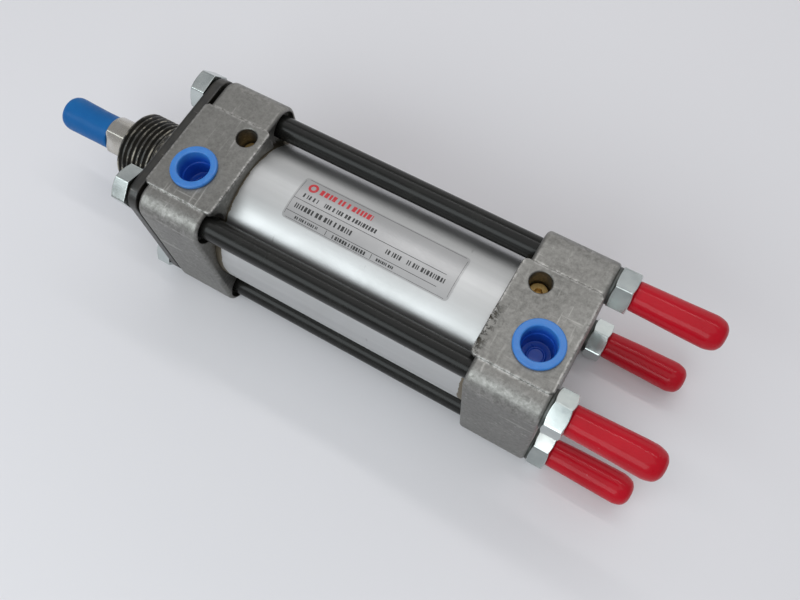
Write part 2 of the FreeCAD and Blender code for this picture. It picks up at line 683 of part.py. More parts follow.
def port_plug(x):
    """Hollow push-in plug with a flange, an inner step and a ringed floor."""
    top = BAND_TOP + PLUG_FLANGE_T
    floor = PLUG_FOOT + PLUG_FLOOR_T
    profile = [(0, PLUG_FOOT), (PLUG_TIP_R - PLUG_TIP_CHAMFER, PLUG_FOOT),
               (PLUG_TIP_R, PLUG_FOOT + PLUG_TIP_CHAMFER),
               (PLUG_BODY_R, BAND_TOP - PLUG_SHANK), (PLUG_BODY_R, BAND_TOP),
               (PLUG_FLANGE_R, BAND_TOP), (PLUG_FLANGE_R, top - PLUG_FLANGE_EDGE),
               (PLUG_FLANGE_R - PLUG_FLANGE_EDGE, top),
               (PLUG_MOUTH_R + PLUG_MOUTH_EDGE, top), (PLUG_MOUTH_R, top - PLUG_MOUTH_EDGE),
               (PLUG_MOUTH_R - PLUG_DRAFT, PLUG_STEP_Z), (PLUG_STEP_R, PLUG_STEP_Z),
               (PLUG_STEP_R - PLUG_DRAFT, floor),
               (PLUG_RING_OUTER_R, floor), (PLUG_RING_OUTER_R, floor + PLUG_RING_T),
               (PLUG_RING_INNER_R, floor + PLUG_RING_T), (PLUG_RING_INNER_R, floor), (0, floor)]
    return turned_z(profile, x, PORT_Y)


def cap_profile(mouth, end, mouth_r, end_r, round_r, inner):
    """Closed cap outline from its mouth to a rounded end, with the inner wall given."""
    step = 1 if end > mouth else -1
    outline = [(mouth, mouth_r)]
    centre = end - step * round_r
    for k in range(CAP_ROUND_STEPS + 1):
        angle = math.radians(90 * (1 - k / CAP_ROUND_STEPS))
        outline.append((centre + step * round_r * math.cos(angle),
                        end_r - round_r + round_r * math.sin(angle)))
    return outline + [(end, 0)] + inner


def rod_thread_cap():
    mouth = ROD_SHOULDER_X + CAP_SEAT_GAP
    inner = [(ROD_CAP_FLOOR, 0), (ROD_CAP_FLOOR, ROD_CAP_INNER_R),
             (ROD_COLLAR_END, ROD_CAP_INNER_R), (ROD_COLLAR_END, ROD_CAP_LIP_R),
             (mouth, ROD_CAP_LIP_R)]
    return turned_x(cap_profile(mouth, ROD_CAP_END, ROD_CAP_MOUTH_R, ROD_CAP_END_R,
                                ROD_CAP_ROUND, inner))


def stud_cap(y, z):
    mouth = REAR_OUT - WASHER_T - REAR_NUT_T - CAP_SEAT_GAP
    end = mouth - STUD_CAP_LENGTH
    inner = [(end + STUD_CAP_WALL, 0), (end + STUD_CAP_WALL, STUD_CAP_INNER_R),
             (mouth, STUD_CAP_INNER_R)]
    cap = turned_x(cap_profile(mouth, end, STUD_CAP_MOUTH_R, STUD_CAP_END_R,
                               STUD_CAP_ROUND, inner))
    return cap.translate(point(0, y, z))


NODES = {
    "front_head": front_head,
    "rear_head": rear_head,
    "front_cartridge": front_cartridge,
    "rear_cartridge": rear_cartridge,
    "barrel_tube": barrel_tube,
    "retainer_plate": retainer_plate,
    "threaded_nose": threaded_nose,
    "nose_o_ring": nose_o_ring,
    "rod_bearing": rod_bearing,
    "rod_wiper": rod_wiper,
    "rod_seal": rod_seal,
    "barrel_o_rings": barrel_o_rings,
    "front_cushion_seal": front_cushion_seal,
    "rear_cushion_seal": rear_cushion_seal,
    "tie_rods": tie_rods,
    "front_nuts": front_nuts,
    "rear_nuts": rear_nuts,
    "rear_washers": rear_washers,
    "name_label": name_label,
    "piston_rod": piston_rod,
    "piston": piston,
    "piston_o_ring": piston_o_ring,
    "piston_seals": piston_seals,
    "piston_wear_ring": piston_wear_ring,
    "front_cushion_sleeve": front_cushion_sleeve,
    "rear_cushion_nut": rear_cushion_nut,
    "rod_thread_cap": rod_thread_cap,
}

os.makedirs("parts", exist_ok=True)
for name, build in NODES.items():
    save(name, build())
for end_name, port_x, screw_x in (("front", FRONT_PORT_X, FRONT_SCREW_X),
                                  ("rear", REAR_PORT_X, REAR_SCREW_X)):
    save(end_name + "_cushion_screw", cushion_screw(screw_x))
    save(end_name + "_screw_o_ring", screw_o_ring(screw_x))
    save(end_name + "_port_plug", port_plug(port_x))
for number, (place_y, place_z) in enumerate(tie_places(), start=1):
    save("stud_cap_%d" % number, stud_cap(place_y, place_z))
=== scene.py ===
import math
import random
import bmesh
import bpy
from mathutils import Matrix, Vector, noise


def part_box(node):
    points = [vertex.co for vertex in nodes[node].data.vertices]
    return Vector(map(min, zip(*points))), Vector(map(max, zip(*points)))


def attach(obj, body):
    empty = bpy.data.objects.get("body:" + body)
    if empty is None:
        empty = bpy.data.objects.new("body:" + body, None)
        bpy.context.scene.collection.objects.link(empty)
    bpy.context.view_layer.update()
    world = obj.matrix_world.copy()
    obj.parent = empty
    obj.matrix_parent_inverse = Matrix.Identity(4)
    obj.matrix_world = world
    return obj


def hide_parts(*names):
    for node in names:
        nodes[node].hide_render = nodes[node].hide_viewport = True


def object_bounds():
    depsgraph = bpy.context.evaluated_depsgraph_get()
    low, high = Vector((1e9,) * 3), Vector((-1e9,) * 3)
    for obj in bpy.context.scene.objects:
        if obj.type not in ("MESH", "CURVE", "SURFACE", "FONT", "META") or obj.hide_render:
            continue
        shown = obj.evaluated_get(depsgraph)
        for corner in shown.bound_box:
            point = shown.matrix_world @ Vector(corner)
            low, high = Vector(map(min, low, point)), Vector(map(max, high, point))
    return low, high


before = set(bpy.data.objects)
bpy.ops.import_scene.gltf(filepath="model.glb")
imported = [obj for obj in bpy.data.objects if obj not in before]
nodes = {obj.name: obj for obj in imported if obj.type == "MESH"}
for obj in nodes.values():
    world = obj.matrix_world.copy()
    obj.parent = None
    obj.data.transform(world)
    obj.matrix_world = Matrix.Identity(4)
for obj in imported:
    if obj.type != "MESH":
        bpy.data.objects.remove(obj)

cad_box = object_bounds()
MM = 0.001

# ---------------------------------------------------------------- camera

CAMERA_PLACE = Vector((-0.15054, 0.08644, 0.23858))
CAMERA_AIM = Vector((-0.08884, 0.00629, 0.0))
CAMERA_ROLL = -7.8
CAMERA_LENS = 35.16


def make_camera():
    """Camera at the picture's angle."""
    data = bpy.data.cameras.new("camera")
    data.lens = CAMERA_LENS
    data.sensor_width = 36.0
    data.clip_start = 0.01
    camera = bpy.data.objects.new("camera", data)
    bpy.context.scene.collection.objects.link(camera)
    turn = (CAMERA_AIM - CAMERA_PLACE).to_track_quat("-Z", "Y").to_matrix().to_4x4()
    roll = Matrix.Rotation(math.radians(CAMERA_ROLL), 4, "Z")
    camera.matrix_world = Matrix.Translation(CAMERA_PLACE) @ turn @ roll
    bpy.context.scene.camera = camera


make_camera()

# ---------------------------------------------------------------- places from the frame


def low(node):
    """Lowest corner of a node's box, in millimetres."""
    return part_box(node)[0] / MM


def high(node):
    """Highest corner of a node's box, in millimetres."""
    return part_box(node)[1] / MM


def centre(node):
    """Middle of a node's box, in millimetres."""
    return (low(node) + high(node)) / 2


TIE = (high("tie_rods").y - low("tie_rods").y) / 2
TIE_R = 3.97
PITCH_HALF = TIE - TIE_R
PLACES = [(PITCH_HALF, PITCH_HALF), (-PITCH_HALF, PITCH_HALF),
          (-PITCH_HALF, -PITCH_HALF), (PITCH_HALF, -PITCH_HALF)]

# ---------------------------------------------------------------- mesh helpers


def add_object(name, vertices, faces, sharp_angle):
    """Makes a mesh object from vertices in millimetres."""
    mesh = bpy.data.meshes.new(name)
    mesh.from_pydata([Vector(v) * MM for v in vertices], [], faces)
    mesh.polygons.foreach_set("use_smooth", [True] * len(mesh.polygons))
    mesh.set_sharp_from_angle(angle=math.radians(sharp_angle))
    mesh.update()
    piece = bpy.data.objects.new(name, mesh)
    bpy.context.scene.collection.objects.link(piece)
    return piece


def soften(outline, radius, steps, closed=False):
    """The same outline of (along, radius) corners with each corner rounded."""
    count = len(outline)
    result = []
    for i, corner in enumerate(outline):
        if not closed and i in (0, count - 1):
            result.append(corner)
            continue
        here = Vector(corner)
        before = Vector(outline[i - 1]) - here
        after = Vector(outline[(i + 1) % count]) - here
        reach = min(radius, before.length * 0.45, after.length * 0.45)
        start = here + before.normalized() * reach
        end = here + after.normalized() * reach
        for k in range(steps + 1):
            t = k / steps
            spot = start.lerp(here, t).lerp(here.lerp(end, t), t)
            result.append((spot.x, spot.y))
    return result


def split_between(outline, start, end, step):
    """Adds points to the straight runs of an outline that lie between start and end."""
    result = []
    for first, second in zip(outline, outline[1:]):
        result.append(first)
        middle = (first[0] + second[0]) / 2
        length = math.dist(first, second)
        if start <= middle <= end and length > step:
            count = int(length / step) + 1
            for k in range(1, count):
                t = k / count
                result.append((first[0] + (second[0] - first[0]) * t,
                               first[1] + (second[1] - first[1]) * t))
    result.append(outline[-1])
    return result


TINY = 1e-6


def turned_mesh(outline, axis="X", centre=(0.0, 0.0, 0.0), segments=96, shape=None, closed=False):
    """Vertices and faces of a turned part. shape(along, radius, angle) may return a new pair."""
    vertices = []
    rings = []
    for along, radius in outline:
        if radius < TINY:
            rings.append([len(vertices)])
            vertices.append(place_turned(along, 0.0, 0.0, axis, centre))
            continue
        ring = []
        for k in range(segments):
            angle = 2 * math.pi * k / segments
            a, r = shape(along, radius, angle) if shape else (along, radius)
            ring.append(len(vertices))
            vertices.append(place_turned(a, r, angle, axis, centre))
        rings.append(ring)
    faces = []
    pairs = list(zip(rings, rings[1:]))
    if closed:
        pairs.append((rings[-1], rings[0]))
    for one, two in pairs:
        if len(one) == len(two) == 1:
            continue
        for k in range(segments):
            after = (k + 1) % segments
            if len(one) == 1:
                faces.append((one[0], two[after], two[k]))
            elif len(two) == 1:
                faces.append((one[k], one[after], two[0]))
            else:
                faces.append((one[k], one[after], two[after], two[k]))
    return vertices, faces


def place_turned(along, radius, angle, axis, centre):
    """Point of a part turned about the X or the Z axis through centre."""
    if axis == "X":
        return (centre[0] + along, centre[1] + radius * math.sin(angle),
                centre[2] + radius * math.cos(angle))
    return (centre[0] + radius * math.cos(angle), centre[1] + radius * math.sin(angle),
            centre[2] + along)


SHARP_ANGLE = 32.0
NUT_ANGLE = 25.0
SOFT_ANGLE = 50.0


def joined(name, parts, sharp_angle=SHARP_ANGLE):
    """One object from several lists of vertices and faces."""
    vertices = []
    faces = []
    for part_vertices, part_faces in parts:
        start = len(vertices)
        vertices += part_vertices
        faces += [tuple(start + i for i in face) for face in part_faces]
    piece = add_object(name, vertices, faces, sharp_angle)
    outward(piece)
    return piece


def outward(piece):
    """Turns the faces of every closed shell outwards."""
    shell = bmesh.new()
    shell.from_mesh(piece.data)
    bmesh.ops.recalc_face_normals(shell, faces=shell.faces)
    shell.to_mesh(piece.data)
    shell.free()


def finish_piece(piece, body, material, slot_name, *replaced):
    """Gives a piece its material and its body, and hides the CAD nodes that it stands for. slot_name
    is not used.
    """
    piece.data.materials.clear()
    piece.data.materials.append(material)
    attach(piece, body)
    if replaced:
        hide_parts(*replaced)


GROOVE_FLOOR = 0.18
GROOVE_FLANK = 0.62
LEAD_SHARE = 0.4
LEAD_START = 0.2
CUT_MARGIN = 0.05


def thread(start, end, pitch, depth, least_radius, run_out):
    """Shape of a helical thread between two places along a turned part.

    Only points from least_radius outwards are cut. The groove fades in over run_out.
    """
    def cut(along, radius, angle):
        if radius < least_radius - CUT_MARGIN or not start <= along <= end:
            return along, radius
        phase = (along / pitch - angle / (2 * math.pi)) % 1.0
        flank = min(1.0, max(0.0, (abs(2 * phase - 1) - GROOVE_FLOOR) / GROOVE_FLANK))
        lead = (end - along) / (run_out * LEAD_SHARE) + LEAD_START
        fade = min(1.0, (along - start) / run_out, lead)
        return along, radius - depth * (1 - flank) * max(0.0, fade)
    return cut


# ---------------------------------------------------------------- material helpers


BEVEL_SAMPLES = 6


class Finish:
    """A material with short calls for the nodes that it is built from."""

    def __init__(self, name, colour, metallic=0.0, roughness=0.5):
        self.material = bpy.data.materials.new(name)
        self.material.use_nodes = True
        self.tree = self.material.node_tree
        self.shader = self.tree.nodes["Principled BSDF"]
        self.shader.inputs["Base Color"].default_value = (*colour, 1.0)
        self.shader.inputs["Metallic"].default_value = metallic
        self.shader.inputs["Roughness"].default_value = roughness
        self.place = self.tree.nodes.new("ShaderNodeTexCoord").outputs["Object"]
        self.normal = None

    def join(self, source, target):
        """Links an output to an input."""
        self.tree.links.new(source, target)

    def node(self, kind, **settings):
        """Makes a node with the given settings."""
        made = self.tree.nodes.new(kind)
        for key, value in settings.items():
            setattr(made, key, value)
        return made

    def stretched(self, scale, turn):
        """Object coordinates, scaled and turned by degrees."""
        mapping = self.node("ShaderNodeMapping")
        mapping.inputs["Scale"].default_value = scale
        mapping.inputs["Rotation"].default_value = [math.radians(a) for a in turn]
        self.join(self.place, mapping.inputs["Vector"])
        return mapping.outputs["Vector"]

    def noise(self, scale, detail=4.0, rough=0.55, stretch=(1, 1, 1), turn=(0, 0, 0), warp=0.0):
        """Noise, finer along an axis that is stretched more. turn is in degrees."""
        texture = self.node("ShaderNodeTexNoise")
        texture.inputs["Scale"].default_value = scale
        texture.inputs["Detail"].default_value = detail
        texture.inputs["Roughness"].default_value = rough
        texture.inputs["Distortion"].default_value = warp
        self.join(self.stretched(stretch, turn), texture.inputs["Vector"])
        return texture.outputs["Fac"]

    def cells(self, scale):
        """Distance to the nearest of many scattered points."""
        texture = self.node("ShaderNodeTexVoronoi")
        texture.inputs["Scale"].default_value = scale
        self.join(self.place, texture.inputs["Vector"])
        return texture.outputs["Distance"]

    def levels(self, source, low, high, start=0.0, end=1.0):
        """Maps low..high of a value to start..end, clamped."""
        change = self.node("ShaderNodeMapRange", clamp=True)
        change.inputs["From Min"].default_value = low
        change.inputs["From Max"].default_value = high
        change.inputs["To Min"].default_value = start
        change.inputs["To Max"].default_value = end
        self.join(source, change.inputs["Value"])
        return change.outputs["Result"]

    def maths(self, operation, one, two=0.0):
        """A sum on numbers or outputs. The second is left out by one-value operations."""
        made = self.node("ShaderNodeMath", operation=operation)
        for socket, value in zip(made.inputs, (one, two)):
            if isinstance(value, (int, float)):
                socket.default_value = value
            else:
                self.join(value, socket)
        return made.outputs[0]

    def blend(self, factor, one, two):
        """Colour one where factor is 0 and two where it is 1."""
        mix = self.node("ShaderNodeMix", data_type="RGBA")
        self.join(factor, mix.inputs[0])
        for socket, value in ((mix.inputs[6], one), (mix.inputs[7], two)):
            if isinstance(value, tuple):
                socket.default_value = (*value, 1.0)
            else:
                self.join(value, socket)
        return mix.outputs[2]

    def axis(self, letter):
        """One of the object coordinates."""
        parts = self.node("ShaderNodeSeparateXYZ")
        self.join(self.place, parts.inputs[0])
        return parts.outputs["XYZ".index(letter)]

    def edges(self, radius, low=0.02, high=0.25):
        """1 on sharp edges and 0 on faces, from the difference that rounding makes."""
        rounded = self.node("ShaderNodeBevel", samples=BEVEL_SAMPLES)
        rounded.inputs["Radius"].default_value = radius
        true = self.node("ShaderNodeNewGeometry")
        dot = self.node("ShaderNodeVectorMath", operation="DOT_PRODUCT")
        self.join(rounded.outputs["Normal"], dot.inputs[0])
        self.join(true.outputs["Normal"], dot.inputs[1])
        return self.levels(dot.outputs["Value"], 1 - low, 1 - high, 0.0, 1.0)

    def round_edges(self, radius):
        """Shades sharp edges as if they were rounded."""
        rounded = self.node("ShaderNodeBevel", samples=BEVEL_SAMPLES)
        rounded.inputs["Radius"].default_value = radius
        self.normal = rounded.outputs["Normal"]

    def bump(self, height, distance, strength):
        """Adds relief to the shading, on top of any relief before it."""
        made = self.node("ShaderNodeBump")
        made.inputs["Distance"].default_value = distance
        made.inputs["Strength"].default_value = strength
        self.join(height, made.inputs["Height"])
        if self.normal:
            self.join(self.normal, made.inputs["Normal"])
        self.normal = made.outputs["Normal"]

    def done(self, colour, roughness):
        """Joins the finished colour, roughness and bump to the shader."""
        self.join(colour, self.shader.inputs["Base Color"])
        self.join(roughness, self.shader.inputs["Roughness"])
        self.join(self.normal, self.shader.inputs["Normal"])
        return self.material


# ---------------------------------------------------------------- materials


def cast_aluminium():
    """Grey die-cast alloy: tumbled finish, short scratches, rubbed edges with a painted highlight on
    the round upper corners, pits by the barrel.
    """
    f = Finish("cast_aluminium", (0.3, 0.295, 0.28), metallic=1.0, roughness=0.46)
    f.round_edges(0.0005)
    cloud = f.noise(60, 5, 0.65)
    ground = f.noise(700, 6, 0.75)
    speckle = f.noise(1500, 3, 0.6)
    across = f.levels(f.noise(700, 2, 0.5, stretch=(1.0, 0.07, 1.0), turn=(0, 0, 14)), 0.62, 0.68)
    along = f.levels(f.noise(620, 2, 0.5, stretch=(0.06, 1.0, 1.0), turn=(0, 0, -24)), 0.63, 0.69)
    scratches = f.maths("MAXIMUM", across, along)
    patches = f.levels(f.noise(90, 4, 0.6), 0.45, 0.62)
    scratches = f.maths("MULTIPLY", scratches, patches)
    specks = f.levels(f.noise(800, 3, 0.6), 0.38, 0.3)
    # Rubbed edges; on the round upper corners the pale rub is partly a painted highlight.
    worn = f.maths("MULTIPLY", edge_wear_and_corner_highlight(f), f.levels(f.noise(650, 5, 0.75), 0.42, 0.58))
    eaten = f.maths("MULTIPLY", rough_edge_band(f), f.levels(f.noise(560, 4, 0.75), 0.49, 0.56))
    base = f.blend(f.levels(cloud, 0.3, 0.7), (0.15, 0.147, 0.138), (0.225, 0.221, 0.208))
    base = f.blend(f.levels(ground, 0.35, 0.7, 0.0, 0.5), base, (0.34, 0.334, 0.318))
    base = f.blend(f.levels(speckle, 0.55, 0.75, 0.0, 0.35), base, (0.28, 0.275, 0.26))
    base = f.blend(f.maths("MULTIPLY", specks, 0.25), base, (0.09, 0.087, 0.076))
    base = f.blend(f.maths("MULTIPLY", scratches, 0.35), base, (0.6, 0.59, 0.56))
    # Pale rubs, with a painted highlight on the round upper corners.
    base = f.blend(f.maths("MULTIPLY", worn, 0.75), base, (0.62, 0.61, 0.59))
    base = f.blend(eaten, base, (0.035, 0.028, 0.018))
    rough = f.levels(ground, 0.3, 0.75, 0.54, 0.4)
    rough = f.maths("SUBTRACT", rough, f.maths("MULTIPLY", worn, 0.1))
    f.bump(ground, 0.00005, 0.35)
    f.bump(speckle, 0.00002, 0.5)
    f.bump(specks, -0.00005, 0.5)
    f.bump(eaten, -0.0003, 0.8)
    return f.done(base, rough)


def near_places(f, letter, places, reach):
    """1 at the given places along an axis, falling to 0 at a distance from them."""
    along = f.axis(letter)
    found = None
    for place in places:
        gap = f.maths("ABSOLUTE", f.maths("SUBTRACT", along, place * MM))
        mark = f.levels(gap, 0.0, reach * MM, 1.0, 0.0)
        found = f.maths("MAXIMUM", found, mark) if found else mark
    return found


BAND_SIDES = (-14.2, 20.3)


def edge_wear_and_corner_highlight(f):
    """Wear on the outline of each head's raised band, and on the round upper corners a light rub
    that is partly a painted highlight.
    """
    ends = [place.x for node in ("front_head", "rear_head") for place in (low(node), high(node))]
    outline = f.maths("MAXIMUM", near_places(f, "X", ends, 1.1),
                      near_places(f, "Y", BAND_SIDES, 0.9))
    outline = f.maths("MULTIPLY", outline, f.levels(f.axis("Z"), 0.0278, 0.0285))
    # Round upper corners: a light rub that is partly a painted highlight.
    diagonal = f.maths("ADD", f.maths("ABSOLUTE", f.axis("Y")), f.axis("Z"))
    corner = f.levels(diagonal, 0.0502, 0.0518, 0.0, 0.25)
    return f.maths("MAXIMUM", outline, corner)


def rough_edge_band(f):
    """1 beside the rear head's upper edge on the barrel's near side, where the casting is eaten."""
    edge = high("rear_head").x * MM
    x = f.axis("X")
    near_x = f.maths("MULTIPLY", f.levels(x, edge - 0.0035, edge - 0.0002),
                     f.maths("LESS_THAN", x, edge + 0.01))
    near_y = f.levels(f.axis("Y"), 0.001, 0.006)
    top = f.levels(f.axis("Z"), 0.0275, 0.0287)
    return f.maths("MULTIPLY", f.maths("MULTIPLY", near_x, near_y), top)


def barrel_aluminium():
    """Satin tube: faint turning lines, streaks along it, brown residue where it meets the heads."""
    f = Finish("barrel_aluminium", (0.62, 0.625, 0.625), metallic=1.0, roughness=0.4)
    lines = f.noise(700, 3, 0.6, stretch=(1.0, 0.02, 0.02))
    streaks = f.noise(140, 4, 0.6, stretch=(0.04, 1.0, 1.0))
    smudge = f.noise(30, 5, 0.65, warp=0.6)
    nicks = f.levels(f.noise(420, 2, 0.5, stretch=(1.0, 0.3, 0.3)), 0.74, 0.79)
    base = f.blend(f.levels(streaks, 0.35, 0.65), (0.5, 0.505, 0.505), (0.57, 0.575, 0.575))
    base = f.blend(f.levels(smudge, 0.5, 0.8, 0.0, 0.3), base, (0.43, 0.43, 0.42))
    base = f.blend(f.maths("MULTIPLY", nicks, 0.45), base, (0.25, 0.25, 0.25))
    uneven = f.levels(f.noise(260, 4, 0.7), 0.35, 0.65, 0.0002, 0.0008)
    residue = f.maths("LESS_THAN", distance_from_ends(f), uneven)
    base = f.blend(f.maths("MULTIPLY", residue, 0.8), base, (0.12, 0.085, 0.03))
    rough = f.levels(smudge, 0.35, 0.7, 0.42, 0.5)
    f.bump(lines, 0.00002, 0.35)
    f.bump(nicks, 0.00005, 0.3)
    return f.done(base, rough)


def distance_from_ends(f):
    """How far a point on the barrel is from the nearer head."""
    middle = (low("front_head").x + high("rear_head").x) / 2 * MM
    half = (low("front_head").x - high("rear_head").x) / 2 * MM
    offset = f.maths("ABSOLUTE", f.maths("SUBTRACT", f.axis("X"), middle))
    return f.maths("SUBTRACT", half, offset)


def black_steel():
    """Oiled black oxide on plate and nose: lumpy, with broken bright rubs on edges and on the thread
    crests, where the bright rub is also a painted highlight.
    """
    f = Finish("black_steel", (0.012, 0.011, 0.01), roughness=0.34)
    f.shader.inputs["IOR"].default_value = 1.6
    f.round_edges(0.0003)
    lumps = f.noise(260, 4, 0.6)
    fine = f.noise(1300, 3, 0.6)
    rub = f.levels(f.noise(300, 5, 0.75), 0.5, 0.6)
    # Thread crests: worn metal, and a painted highlight along them.
    crest_wear_and_highlight = f.levels(distance_from_axis(f), 0.01325, 0.01345)
    crest_wear_and_highlight = f.maths("MULTIPLY", crest_wear_and_highlight, f.levels(f.axis("X"), 0.009, 0.0095))
    worn = f.maths("MULTIPLY", f.maths("MAXIMUM", crest_wear_and_highlight, f.edges(0.0005, 0.02, 0.3)), rub)
    scuffs = f.levels(f.noise(900, 2, 0.5, stretch=(0.12, 1, 1)), 0.7, 0.76)
    base = f.blend(f.levels(lumps, 0.35, 0.7), (0.005, 0.005, 0.004), (0.02, 0.017, 0.012))
    # Pale rubs on edges; on the thread crests also a painted highlight.
    base = f.blend(worn, base, (0.34, 0.31, 0.25))
    base = f.blend(f.maths("MULTIPLY", scuffs, 0.5), base, (0.22, 0.2, 0.18))
    rough = f.levels(fine, 0.3, 0.7, 0.28, 0.48)
    f.bump(lumps, 0.0001, 0.4)
    f.bump(fine, 0.00002, 0.4)
    return f.done(base, rough)


def distance_from_axis(f):
    """Radius of a point from the cylinder's axis."""
    y = f.axis("Y")
    z = f.axis("Z")
    squares = f.maths("ADD", f.maths("MULTIPLY", y, y), f.maths("MULTIPLY", z, z))
    return f.maths("SQRT", squares)


def black_rod_steel():
    """Oiled black tie rods with faint drawing lines, dust and small rubbed marks."""
    f = Finish("black_rod_steel", (0.008, 0.008, 0.008), roughness=0.26)
    f.shader.inputs["Specular IOR Level"].default_value = 0.24
    drawn = f.noise(200, 3, 0.5, stretch=(0.03, 1, 1))
    dust = f.levels(f.noise(120, 5, 0.7), 0.5, 0.85)
    marks = f.levels(f.noise(420, 3, 0.6, stretch=(0.5, 1, 1)), 0.74, 0.8)
    base = f.blend(f.levels(drawn, 0.3, 0.7), (0.005, 0.005, 0.0045), (0.013, 0.013, 0.012))
    base = f.blend(f.maths("MULTIPLY", dust, 0.12), base, (0.08, 0.08, 0.07))
    base = f.blend(f.maths("MULTIPLY", marks, 0.3), base, (0.16, 0.15, 0.14))
    rough = f.levels(dust, 0.0, 1.0, 0.24, 0.38)
    f.bump(drawn, 0.000005, 0.1)
    f.bump(marks, 0.00003, 0.3)
    return f.done(base, rough)


def zinc_steel(name, light, dark, shine):
    """Zinc plate: almost even, stained, with drag marks on the flats and brighter corners."""
    f = Finish(name, light, metallic=1.0, roughness=shine)
    f.round_edges(0.0003)
    mottle = f.noise(160, 4, 0.6)
    drag = f.noise(700, 3, 0.6, stretch=(1.0, 0.15, 0.15))
    stain = f.levels(f.noise(120, 5, 0.7), 0.55, 0.8)
    worn = f.edges(0.0004)
    base = f.blend(f.levels(mottle, 0.3, 0.7), dark, light)
    base = f.blend(f.maths("MULTIPLY", stain, 0.3), base, tuple(0.6 * c for c in dark))
    base = f.blend(f.maths("MULTIPLY", worn, 0.5), base, tuple(min(1.0, 1.3 * c) for c in light))
    rough = f.levels(mottle, 0.3, 0.7, shine * 0.75, shine * 1.1)
    f.bump(drag, 0.00002, 0.4)
    f.bump(mottle, 0.00003, 0.2)
    return f.done(base, rough)


def rod_steel():
    """Ground and plated rod with fine rings left by grinding and light handling marks."""
    f = Finish("rod_steel", (0.62, 0.6, 0.56), metallic=1.0, roughness=0.22)
    rings = f.noise(1500, 2, 0.5, stretch=(1.0, 0.02, 0.02))
    film = f.noise(110, 5, 0.65)
    base = f.blend(f.levels(film, 0.35, 0.75), (0.64, 0.62, 0.58), (0.42, 0.39, 0.34))
    rough = f.levels(film, 0.3, 0.7, 0.18, 0.32)
    f.bump(rings, 0.00001, 0.4)
    return f.done(base, rough)


def machined_aluminium():
    """Turned aluminium with regular tool rings."""
    f = Finish("machined_aluminium", (0.7, 0.7, 0.7), metallic=1.0, roughness=0.28)
    rings = f.noise(900, 2, 0.5, stretch=(1.0, 0.02, 0.02))
    film = f.noise(90, 4, 0.6)
    base = f.blend(f.levels(film, 0.3, 0.7), (0.62, 0.62, 0.62), (0.76, 0.76, 0.75))
    rough = f.levels(rings, 0.3, 0.7, 0.22, 0.38)
    f.bump(rings, 0.00003, 0.5)
    return f.done(base, rough)


def yellow_metal(name, light, dark):
    """Brass or bronze, dulled unevenly and stained in its low places."""
    f = Finish(name, light, metallic=1.0, roughness=0.3)
    tarnish = f.noise(240, 5, 0.65)
    grain = f.noise(1400, 3, 0.6)
    base = f.blend(f.levels(tarnish, 0.35, 0.7), light, dark)
    rough = f.levels(tarnish, 0.3, 0.75, 0.24, 0.46)
    f.bump(grain, 0.00002, 0.4)
    return f.done(base, rough)


def rubber(name, deep, light):
    """Moulded seal with an oily, slightly uneven skin."""
    f = Finish(name, deep, roughness=0.5)
    skin = f.noise(500, 4, 0.6)
    film = f.noise(120, 4, 0.6)
    base = f.blend(f.levels(film, 0.3, 0.7), deep, light)
    rough = f.levels(film, 0.3, 0.7, 0.35, 0.6)
    f.bump(skin, 0.00003, 0.5)
    return f.done(base, rough)


def soft_vinyl(name, deep, light, shine, gloss, waves):
    """Dipped vinyl: soft body shine under a thin glossy skin, waves, dust and pale rub marks."""
    f = Finish(name, deep, roughness=shine)
    f.shader.inputs["Specular IOR Level"].default_value = 0.12
    f.shader.inputs["Coat Weight"].default_value = gloss
    f.shader.inputs["Coat Roughness"].default_value = 0.05
    f.shader.inputs["Subsurface Weight"].default_value = 0.06
    f.shader.inputs["Subsurface Scale"].default_value = 0.001
    broad = f.noise(55, 4, 0.55)
    peel = f.noise(650, 3, 0.5)
    dust = f.levels(f.noise(1100, 2, 0.5), 0.74, 0.8)
    rub = f.levels(f.noise(240, 4, 0.6, stretch=(0.25, 1, 1)), 0.62, 0.75)
    base = f.blend(f.levels(broad, 0.3, 0.7), deep, light)
    base = f.blend(f.maths("MULTIPLY", rub, 0.04), base, tuple(min(1.0, c + 0.3) for c in light))
    base = f.blend(f.maths("MULTIPLY", dust, 0.22), base, (0.7, 0.66, 0.66))
    rough = f.levels(peel, 0.3, 0.7, shine * 0.8, shine * 1.35)
    f.bump(broad, waves, 0.5)
    f.bump(peel, 0.00003, 0.35)
    return f.done(base, rough)


def moulded_plug():
    """Moulded blue plug with flow marks, paler towards the top flange and deeper inside the cup:
    painted light and shade by height.
    """
    f = Finish("moulded_plug", (0.03, 0.22, 0.72), roughness=0.32)
    f.shader.inputs["Subsurface Weight"].default_value = 0.1
    f.shader.inputs["Subsurface Scale"].default_value = 0.0015
    flow = f.noise(200, 4, 0.6, warp=1.2)
    skin = f.noise(900, 3, 0.5)
    # Painted light and shade: paler towards the top flange, deeper down inside the cup.
    height = f.levels(f.axis("Z"), 0.0265, 0.0292)
    base = f.blend(f.levels(flow, 0.3, 0.7), (0.008, 0.07, 0.42), (0.014, 0.1, 0.5))
    flange = f.blend(f.levels(flow, 0.3, 0.7), (0.03, 0.17, 0.52), (0.045, 0.21, 0.58))
    base = f.blend(height, base, flange)
    rough = f.levels(flow, 0.3, 0.7, 0.26, 0.42)
    f.bump(skin, 0.00002, 0.5)
    f.bump(flow, 0.00005, 0.2)
    return f.done(base, rough)


